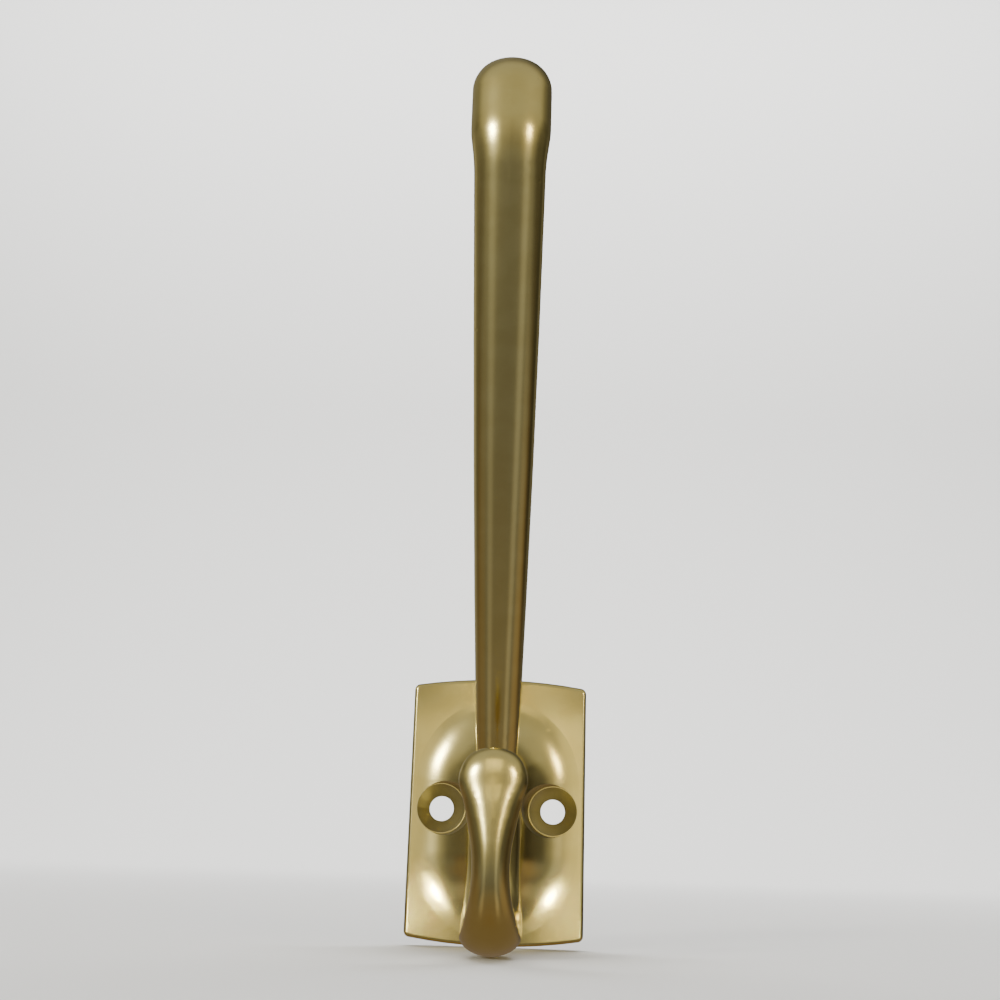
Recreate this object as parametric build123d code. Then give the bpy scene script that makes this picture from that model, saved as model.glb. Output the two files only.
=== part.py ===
from build123d import *
import os
from math import acos, cos, pi, sin

# A cast brass hat-and-coat hook. The wall is the plane Y = 0, the front faces -Y and +Z is up.
# The origin is the middle of the back face, level with the two screw holes. All sizes in mm.
# Reach is a distance out from the wall, and height is measured from the screw holes.

# Back plate: straight sides, gently arched top and bottom, softened front rim
plate_width = 28.5
plate_height = 42.2
plate_arch = 1.2
plate_thickness = 2.8
plate_corner_radius = 1.0
plate_rim_radius = 0.6

# Countersunk screw holes, and the scoop in the stem's foot that clears each screw head
hole_spacing = 18.2
hole_diameter = 4.0
countersink_diameter = 7.7
countersink_angle = 90.0
scoop_floor_width = 7.9
scoop_floor_height = 7.9
scoop_mouth_width = 11.6
scoop_mouth_height = 13.6
scoop_depth = 9.0
scoop_lift = 0.08

# Stem: an upright slot-shaped post that flares out over the plate and carries the bar.
# It bites this far past the bar's centre line.
stem_width = 6.0
stem_height = 17.4
stem_middle = -1.25
stem_bite = 1.2
flare_radius = 10.2
stem_blend_radius = 3.0

# Centre line of the bar seen from the side: a leg at the stem, with the arm above and the hook below
leg_reach = 13.8
neck_height = -3.4
neck_bend_radius = 25.0
arm_lean_angle = 24.5
arm_length = 87.8
toe_bend_radius = 16.0
toe_length = 5.7
bowl_height = -7.3
bowl_radius = 11.0
hook_lean_angle = 0.5
hook_length = 9.9

# Oval sections of the bar: width across, and thickness from front to back.
# The arm is wider by its swell, halfway up, than an even taper would make it.
leg_width = 8.2
leg_thickness = 7.0
arm_base_width = 6.4
arm_base_thickness = 6.6
arm_top_width = 10.3
arm_top_thickness = 6.8
arm_swell = 0.45
toe_width = 11.5
toe_thickness = 7.8
toe_round = 5.0
bowl_rear_width = 8.9
bowl_rear_thickness = 6.2
bowl_front_width = 8.3
bowl_front_thickness = 5.8
waist_width = 5.4
waist_thickness = 6.2
hook_tip_width = 9.6
hook_tip_thickness = 4.2
hook_tip_round = 4.6

# Where the sections stand, as shares of the arc or line they are on
hook_shares = (0.53, 0.58, 0.8, 1.0)
hook_cut_share = 0.5
hook_foot_shares = (0.47, 0.42, 0.2)
waist_share = 0.9
waist_start_share = 0.75
bowl_front_share = 0.62
bowl_rear_share = 0.28
leg_foot_share = 0.05
arm_foot_shares = (0.0, 0.06, 0.07)
arm_cut_shares = (0.08, 0.3, 0.52, 0.74, 0.96)
arm_head_shares = (0.97, 0.98)
toe_bend_share = 0.5
toe_shares = (0.0, 0.08, 0.16)
toe_end_shares = (0.84, 0.92, 1.0)

# The hook widens from waist to tip by this power of the share of its length
hook_flare_power = 1.3

# A rounded end is drawn by a few slices, down to a last one of this width.
# A fullness of 1 makes it half an ellipse, and less makes it blunter.
end_slices = 4
end_width = 1.6
end_fullness = 0.8


def between(start, end, share=0.5):
    return start + (end - start) * share


def front_plane(reach, height=0):
    """Plane parallel to the wall, facing away from it."""
    return Plane(origin=(0, -reach, height), x_dir=(1, 0, 0), z_dir=(0, -1, 0))


def oval(plane, width, height):
    """Elliptical face, bounded by four quarter arcs."""
    quarters = []
    for start in (0, 90, 180, 270):
        quarters.append(EllipticalCenterArc((0, 0), width / 2, height / 2, start, arc_size=90))
    return plane * make_face(quarters)


def back_plate():
    half_width = plate_width / 2
    crown = plate_height / 2
    shoulder = crown - plate_arch
    outline = [
        ThreePointArc((-half_width, shoulder), (0, crown), (half_width, shoulder)),
        Line((half_width, shoulder), (half_width, -shoulder)),
        ThreePointArc((half_width, -shoulder), (0, -crown), (-half_width, -shoulder)),
        Line((-half_width, -shoulder), (-half_width, shoulder)),
    ]
    plate = extrude(front_plane(0) * make_face(outline), plate_thickness)
    plate = fillet(plate.edges().filter_by(Axis.Y), plate_corner_radius)
    front_face = plate.faces().sort_by(Axis.Y)[0]
    return fillet(front_face.edges(), plate_rim_radius)


def with_flared_stem(plate):
    root = plate_thickness / 2
    slot = Rotation(0, 0, 90) * SlotOverall(stem_height, stem_width)
    post = extrude(front_plane(root, stem_middle) * slot, leg_reach + stem_bite - root)
    joined = plate + post
    return fillet(new_edges(plate, post, combined=joined), flare_radius)


def bar():
    """Hook, leg and arm: lofts through ovals along the centre line, meeting where it is straight."""
    side = Plane(origin=(0, 0, 0), x_dir=(0, -1, 0), z_dir=(-1, 0, 0))
    neck = JernArc((leg_reach, neck_height), (0, 1), neck_bend_radius, -arm_lean_angle)
    arm = Line(neck @ 1, neck @ 1 + arm_length * (neck % 1))
    toe_bend = JernArc(arm @ 1, arm % 1, toe_bend_radius, arm_lean_angle)
    toe = Line(toe_bend @ 1, toe_bend @ 1 + toe_length * (toe_bend % 1))
    bowl = JernArc((leg_reach, bowl_height), (0, -1), bowl_radius, 180 - hook_lean_angle)
    hook = Line(bowl @ 1, bowl @ 1 + hook_length * (bowl % 1))

    def section(stretch, share, width, thickness, beyond=0):
        line = side * stretch
        ahead = line % share
        upward = -1 if stretch in (bowl, hook) else 1
        plane = Plane(line @ share + beyond * ahead, x_dir=(1, 0, 0), z_dir=upward * ahead)
        return oval(plane, width, thickness)

    def on_hook(share):
        flare = share**hook_flare_power
        width = between(waist_width, hook_tip_width, flare)
        return section(hook, share, width, between(waist_thickness, hook_tip_thickness, flare))

    def on_arm(share):
        width = between(arm_base_width, arm_top_width, share) + arm_swell * sin(pi * share)
        return section(arm, share, width, between(arm_base_thickness, arm_top_thickness, share))

    def on_toe(share):
        return section(toe, share, toe_width, toe_thickness)

    def round_end(stretch, width, thickness, length):
        slices = []
        for step in range(1, end_slices + 1):
            turn = acos((end_width / width) ** (1 / end_fullness)) * step / end_slices
            shrink = cos(turn) ** end_fullness
            slices.append(
                section(stretch, 1, width * shrink, thickness * shrink, length * sin(turn))
            )
        return slices

    hook_cut = on_hook(hook_cut_share)
    hook_end = [hook_cut]
    hook_end += [on_hook(share) for share in hook_shares]
    hook_end += round_end(hook, hook_tip_width, hook_tip_thickness, hook_tip_round)

    waist_start_width = between(bowl_front_width, waist_width)
    waist_start_thickness = between(bowl_front_thickness, waist_thickness)
    arm_cuts = [on_arm(share) for share in arm_cut_shares]
    lower = [hook_cut]
    lower += [on_hook(share) for share in hook_foot_shares]
    lower += [
        section(bowl, waist_share, waist_width, waist_thickness),
        section(bowl, waist_start_share, waist_start_width, waist_start_thickness),
        section(bowl, bowl_front_share, bowl_front_width, bowl_front_thickness),
        section(bowl, bowl_rear_share, bowl_rear_width, bowl_rear_thickness),
        section(bowl, leg_foot_share, leg_width, leg_thickness),
        section(neck, 0, leg_width, leg_thickness),
    ]
    lower += [on_arm(share) for share in arm_foot_shares]
    lower += [arm_cuts[0]]

    toe_bend_width = between(arm_top_width, toe_width)
    toe_bend_thickness = between(arm_top_thickness, toe_thickness)
    toe_turn = [arm_cuts[-1]]
    toe_turn += [on_arm(share) for share in arm_head_shares]
    toe_turn += [section(toe_bend, toe_bend_share, toe_bend_width, toe_bend_thickness)]
    toe_turn += [on_toe(share) for share in toe_shares]
    toe_end = [on_toe(share) for share in toe_end_shares]
    toe_middle = [toe_turn[-1], toe_end[0]]
    toe_end += round_end(toe, toe_width, toe_thickness, toe_round)

    whole = loft(lower) + loft(hook_end[::-1]) + loft(arm_cuts, ruled=True)
    return whole + loft(toe_turn) + loft(toe_middle) + loft(toe_end)


def screw_hole():
    """Cutter for a countersunk hole and its scoop, standing at the middle of the plate."""
    floor = plate_thickness + scoop_lift
    scoop = loft(
        [
            oval(front_plane(floor), scoop_floor_width, scoop_floor_height),
            oval(front_plane(floor + scoop_depth), scoop_mouth_width, scoop_mouth_height),
        ]
    )
    hole = CounterSinkHole(
        hole_diameter / 2, countersink_diameter / 2, scoop_depth, countersink_angle
    )
    return scoop + front_plane(plate_thickness) * hole


base = with_flared_stem(back_plate())
hook_bar = bar()
joined = base + hook_bar
hook_casting = fillet(new_edges(base, hook_bar, combined=joined), stem_blend_radius)
for across in (-hole_spacing / 2, hole_spacing / 2):
    hook_casting -= Pos(across, 0, 0) * screw_hole()

os.makedirs("parts", exist_ok=True)
export_step(hook_casting, "parts/hook_casting.step")
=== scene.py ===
from math import cos, radians, sin

import bpy
from mathutils import Matrix, Vector


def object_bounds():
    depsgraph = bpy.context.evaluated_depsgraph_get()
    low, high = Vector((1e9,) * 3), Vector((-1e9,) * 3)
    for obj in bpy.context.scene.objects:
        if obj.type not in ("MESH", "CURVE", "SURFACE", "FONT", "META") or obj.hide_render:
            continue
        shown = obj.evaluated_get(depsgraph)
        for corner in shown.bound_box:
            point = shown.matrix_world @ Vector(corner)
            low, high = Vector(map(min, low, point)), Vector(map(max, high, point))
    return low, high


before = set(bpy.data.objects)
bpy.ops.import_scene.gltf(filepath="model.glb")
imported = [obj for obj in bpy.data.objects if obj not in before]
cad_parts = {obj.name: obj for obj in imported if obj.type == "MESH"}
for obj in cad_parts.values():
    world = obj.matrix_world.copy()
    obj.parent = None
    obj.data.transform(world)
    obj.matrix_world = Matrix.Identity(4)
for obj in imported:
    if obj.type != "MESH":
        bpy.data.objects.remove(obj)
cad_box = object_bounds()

# The casting: one piece of brass, poured in a mould, so plate, stem, arm and hook have no seams.
# It was fettled, brushed to a satin finish and lacquered. Two countersunk screws fix it to a wall.
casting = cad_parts["hook_casting"]


class Wire:
    """A value on its way through the nodes of a material or the room. Sums add the Math nodes."""

    def __init__(self, socket):
        self.socket = socket

    def node(self, kind, settings=None, inputs=None, output=0):
        """Adds a node of this kind: its settings first, then the values or wires of its sockets."""
        tree = self.socket.id_data
        made = tree.nodes.new(kind)
        for name, value in (settings or {}).items():
            if name == "stops":
                ramp = made.color_ramp.elements
                while len(ramp) < len(value):
                    ramp.new(0.5)
                for stop, (place, colour) in zip(ramp, value):
                    stop.position = place
                    stop.color = (*colour, 1.0)
            else:
                setattr(made, name, value)
        for name, value in (inputs or {}).items():
            if isinstance(value, Wire):
                tree.links.new(value.socket, made.inputs[name])
            else:
                made.inputs[name].default_value = value
        return Wire(made.outputs[output])

    def maths(self, operation, *values):
        inputs = dict(enumerate(values))
        return self.node("ShaderNodeMath", {"operation": operation}, inputs)

    def __add__(self, other):
        return self.maths("ADD", self, other)

    def __sub__(self, other):
        return self.maths("SUBTRACT", self, other)

    def __rsub__(self, other):
        return self.maths("SUBTRACT", other, self)

    def __mul__(self, other):
        return self.maths("MULTIPLY", self, other)

    __radd__ = __add__
    __rmul__ = __mul__

    def size(self):
        """The value without its sign."""
        return self.maths("ABSOLUTE", self)

    def rise(self, low, high):
        """0 below low, 1 above high, and a smooth rise between."""
        settings = {"interpolation_type": "SMOOTHSTEP"}
        inputs = {"Value": self, "From Min": low, "From Max": high}
        return self.node("ShaderNodeMapRange", settings, inputs)

    def mix(self, first, second):
        """The first colour where this value is 0, and the second where it is 1."""
        settings = {"data_type": "RGBA"}
        return self.node("ShaderNodeMix", settings, {0: self, 6: first, 7: second}, 2)

    def parts(self, *names):
        """The three parts of a direction or place, each under its own name."""
        split = {}
        for output, name in enumerate(names):
            split[name] = self.node("ShaderNodeSeparateXYZ", {}, {0: self}, output)
        return split


brass = bpy.data.materials.new("satin_brass")
brass.use_nodes = True
shader = brass.node_tree.nodes["Principled BSDF"]
for socket, value in (("Metallic", 1.0), ("Coat Weight", 0.6), ("Coat Roughness", 0.12)):
    shader.inputs[socket].default_value = value
here = Wire(brass.node_tree.nodes.new("ShaderNodeTexCoord").outputs["Object"])
place = here.parts("across", "depth", "height")
sideways = place["across"].size()

# Clouds about 4 mm wide in the colour of the cast metal, and the fine grain left by brushing
brass_light = (0.82, 0.695, 0.265, 1.0)
brass_deep = (0.78, 0.65, 0.235, 1.0)
clouds = {"Vector": here, "Scale": 260.0, "Detail": 4.0}
brushing = {"Vector": here, "Scale": 5200.0, "Detail": 2.0}
mottle = here.node("ShaderNodeTexNoise", {}, clouds)
grain = here.node("ShaderNodeTexNoise", {}, brushing)
colour = mottle.rise(0.35, 0.65).mix(brass_deep, brass_light)

# The plate's side edges, rubbed smoother by wear and painted paler: partly wear, partly a painted
# highlight along the rim
worn_sheen_brass = (0.90, 0.80, 0.46, 1.0)
worn_sheen_share = 0.7
worn_sheen_band = 0.0005
edge_end = 0.0001
half_width = cad_box[1].x
worn_sheen_rim = sideways.rise(half_width - worn_sheen_band, half_width - edge_end)
# Painted highlight: the pale rim colour stands in for the bright line of light along the plate's
# edges
colour = (worn_sheen_share * worn_sheen_rim).mix(colour, worn_sheen_brass)

# The drilled countersinks, duller, with turning marks, and painted darker and greyer as painted
# shade in the recess.
# They start just ahead of the plate's front and stop just short of its back.
countersink_painted_shade = (0.50, 0.455, 0.26, 1.0)
hole_offset = 0.0091
countersink_radius = 0.00385
countersink_lip = 0.0002
plate_front = -0.0029
plate_back = -0.0002
soft_step = 0.0001
turning_marks = 42000.0
from_hole = sideways - hole_offset
hole_distance = here.maths("SQRT", from_hole * from_hole + place["height"] * place["height"])
inner_edge = countersink_radius - soft_step / 2
outer_edge = countersink_radius + countersink_lip
within = 1 - hole_distance.rise(inner_edge, outer_edge)
behind_front = place["depth"].rise(plate_front - soft_step, plate_front + soft_step)
ahead_of_back = 1 - place["depth"].rise(plate_back - soft_step, plate_back + soft_step)
drilled = within * behind_front * ahead_of_back
rings = here.maths("SINE", hole_distance * turning_marks)
# Painted shade: the countersinks get a darker, greyer colour for the shade that falls in the recess
colour = drilled.mix(colour, countersink_painted_shade)

# Small pits from the mould, in about a quarter of cells some 4 mm wide
pit_cells = {"Vector": here, "Scale": 230.0, "Randomness": 1.0}
pit_distance = here.node("ShaderNodeTexVoronoi", {}, pit_cells)
pit_chance = here.node("ShaderNodeTexVoronoi", {}, pit_cells, 1)
pit_chance = here.node("ShaderNodeSeparateColor", {}, {0: pit_chance})
pits = (1 - pit_distance.rise(0.03, 0.07)) * pit_chance.rise(0.74, 0.76)

satin = 0.18
roughness = satin + 0.03 * mottle + 0.03 * grain + 0.08 * drilled - 0.05 * worn_sheen_rim
grain_height = 0.00002
ring_height = 0.000004
pit_depth = 0.0004
skin = grain_height * grain + ring_height * drilled * rings - pit_depth * pits
normal = here.node("ShaderNodeBump", {}, {"Height": skin, "Strength": 0.12, "Distance": 1.0})
for socket, value in (("Base Color", colour), ("Roughness", roughness), ("Normal", normal)):
    brass.node_tree.links.new(value.socket, shader.inputs[socket])
casting.data.materials.clear()
casting.data.materials.append(brass)

# The floor: a plain sheet of pale paper that the hook stands on, swept up far behind as a backdrop.
# It is there for the picture only, so the brass doesn't mirror it and it shades nothing.
floor_gap = 0.0002
floor_height = cad_box[0].z - floor_gap
floor_half = 3.0
sweep_start = 1.2
sweep_radius = 0.8
sweep_steps = 24
backdrop_height = 2.5
profile = [(-floor_half, 0.0), (0.0, 0.0)]
for step in range(sweep_steps + 1):
    turn = radians(90 * step / sweep_steps)
    profile.append((sweep_start + sweep_radius * sin(turn), sweep_radius * (1 - cos(turn))))
profile.append((sweep_start + sweep_radius, backdrop_height))
rows = [(side * floor_half, y, floor_height + z) for y, z in profile for side in (-1, 1)]
faces = [(2 * i, 2 * i + 1, 2 * i + 3, 2 * i + 2) for i in range(len(profile) - 1)]
floor_mesh = bpy.data.meshes.new("floor")
floor_mesh.from_pydata(rows, [], faces)
for face in floor_mesh.polygons:
    face.use_smooth = True
floor = bpy.data.objects.new("floor", floor_mesh)
bpy.context.scene.collection.objects.link(floor)
pale = bpy.data.materials.new("pale_paper")
pale.use_nodes = True
paper = pale.node_tree.nodes["Principled BSDF"]
paper.inputs["Base Color"].default_value = (0.80, 0.80, 0.79, 1.0)
paper.inputs["Roughness"].default_value = 0.8
floor_mesh.materials.append(pale)
floor.visible_glossy = False
floor.visible_shadow = False

# The lamps: a soft box on each side of the camera, whiter on the left and warmer on the right.
# Two small ones close by light the lower corners of the flare, and three dim panels fill the plate
# and the hook's tip. A wide box over the floor lights the backdrop. Watts, metres and degrees.
middle = Vector((0, -0.03, 0.04))


def heading(azimuth, elevation):
    """Direction out from the hook: azimuth 0 is towards the viewer, and positive to the right."""
    turn, lift = radians(azimuth), radians(elevation)
    return Vector((sin(turn) * cos(lift), -cos(turn) * cos(lift), sin(lift)))


def soft_box(name, target, away, distance, size, watts, tint, spread=180):
    data = bpy.data.lights.new(name, "AREA")
    data.shape = "RECTANGLE"
    data.size, data.size_y = size
    data.energy = watts
    data.color = tint
    data.spread = radians(spread)
    lamp = bpy.data.objects.new(name, data)
    lamp.location = target + distance * away
    lamp.rotation_euler = away.to_track_quat("Z", "Y").to_euler()
    lamp.visible_camera = False
    bpy.context.scene.collection.objects.link(lamp)
    return lamp


box_distance = 0.9
soft_box("left_box", middle, heading(-37, 14), box_distance, (0.15, 0.18), 4.2, (1.0, 0.98, 0.91))
soft_box("right_box", middle, heading(37, 13), box_distance, (0.12, 0.17), 1.15, (1.0, 0.85, 0.58))

kicker_size = (0.0028, 0.0028)
kicker_distance = 0.034
kicker_tint = (1.0, 0.91, 0.66)
for name, across, from_below, watts in (
    ("left_kicker", -0.0104, heading(-21, -12), 0.00020),
    ("right_kicker", 0.0096, heading(21, -15), 0.00014),
):
    flare_corner = Vector((across, -0.0028, -0.0137))
    soft_box(
        name, flare_corner, from_below, kicker_distance, kicker_size, watts, kicker_tint, spread=24
    )

straight_ahead = heading(0, 0)
fill_size = (0.020, 0.050)
fill_distance = 0.033
fill_tint = (1.0, 0.87, 0.52)
for name, across, watts in (("left_fill", -0.018, 0.00032), ("right_fill", 0.018, 0.00052)):
    plate_side = Vector((across, -0.003, -0.006))
    soft_box(name, plate_side, straight_ahead, fill_distance, fill_size, watts, fill_tint, spread=80)

hook_tip = Vector((0, -0.038, 0.002))
tip_size = (0.026, 0.03)
tip_distance = 0.05
tip_tint = (1.0, 0.84, 0.44)
soft_box("tip_fill", hook_tip, heading(0, 30), tip_distance, tip_size, 0.00053, tip_tint, spread=80)

backdrop_middle = Vector((0, 1.5, 0.3))
overhead = Vector((0, -0.25, 0.97))
wash_size = (3.0, 1.2)
wash_distance = 1.6
white = (1.0, 1.0, 1.0)
wash = soft_box("wash", backdrop_middle, overhead, wash_distance, wash_size, 90.0, white)
wash.visible_glossy = False

# The room that the brass mirrors: dull below and lighter above, by degrees of elevation.
# The ground is brown beside and behind the hook, with a paler strip ahead on each side.
# It gets darker far to the sides and behind, but for a lighter patch low on the right.
room = bpy.data.worlds.new("room")
room.use_nodes = True
facing = Wire(room.node_tree.nodes.new("ShaderNodeTexCoord").outputs["Generated"])
way = facing.parts("across", "back", "height")
tints = [
    (-90, (0.20, 0.140, 0.085)),
    (-42, (0.190, 0.165, 0.140)),
    (-30, (0.132, 0.128, 0.132)),
    (-18, (0.160, 0.161, 0.168)),
    (-9, (0.20, 0.20, 0.20)),
    (-3, (0.22, 0.21, 0.19)),
    (2, (0.25, 0.24, 0.21)),
    (8, (0.32, 0.30, 0.26)),
    (16, (0.39, 0.37, 0.31)),
    (24, (0.42, 0.40, 0.33)),
    (34, (0.47, 0.45, 0.38)),
    (90, (0.44, 0.43, 0.41)),
]
stops = [(0.5 + 0.5 * sin(radians(elevation)), tint) for elevation, tint in tints]
shade = facing.node("ShaderNodeValToRGB", {"stops": stops}, {0: 0.5 * way["height"] + 0.5})

ground = (0.19, 0.145, 0.10, 1.0)
beside = way["across"].size().rise(0.78, 0.92)
behind = way["back"].rise(-0.3, 0.1)
shade = (beside * (1 - way["height"].rise(-0.5, -0.1))).mix(shade, ground)
shade = (behind * (1 - way["height"].rise(-0.15, 0.1))).mix(shade, ground)

over_ground = way["height"].rise(-0.3, 0.0)
right_rear = way["back"].rise(-0.1, 0.4) * way["across"].rise(-0.1, 0.3) * over_ground
high_rear = way["back"].rise(-0.35, 0.05) * way["height"].rise(0.28, 0.42)
low_right = way["across"].rise(0.78, 0.9) * (1 - way["height"].rise(-0.3, -0.1))
strength = (1 - 0.6 * right_rear) * (1 - 0.5 * high_rear) * (1 + 0.45 * low_right)

low_ahead = (1 - way["back"].rise(-0.3, 0.0)) * (1 - way["height"].rise(0.0, 0.2))
for side, pale_by, dark_by in ((-1, 0.8, 0.5), (1, 1.1, 0.7)):
    off_axis = side * way["across"]
    strip = off_axis.rise(0.45, 0.58) * (1 - off_axis.rise(0.68, 0.80)) * low_ahead
    far_side = over_ground * off_axis.rise(0.80, 0.95)
    strength = strength * (1 + pale_by * strip) * (1 - dark_by * far_side)
background = room.node_tree.nodes["Background"]
for socket, value in (("Color", shade), ("Strength", strength)):
    room.node_tree.links.new(value.socket, background.inputs[socket])
bpy.context.scene.world = room

# The camera: at the photograph's angle, in front of the hook and a little below its middle.
# It looks slightly up, and it is tipped a little to one side as the photograph is.
camera_place = Vector((0.0041, -0.2193, -0.0084))
yaw, pitch, roll = radians(-1.38), radians(15.62), radians(1.85)
forward = Vector((sin(yaw) * cos(pitch), cos(yaw) * cos(pitch), sin(pitch)))
level = Vector((cos(yaw), -sin(yaw), 0))
upward = level.cross(forward)
right = cos(roll) * level + sin(roll) * upward
above = cos(roll) * upward - sin(roll) * level
camera_data = bpy.data.cameras.new("camera")
camera_data.sensor_width = 36.0
camera_data.lens = 46.8
camera_data.clip_start = 0.01
camera = bpy.data.objects.new("camera", camera_data)
turned = Matrix((right, above, -forward)).transposed()
camera.matrix_world = Matrix.Translation(camera_place) @ turned.to_4x4()
bpy.context.scene.collection.objects.link(camera)
bpy.context.scene.camera = camera
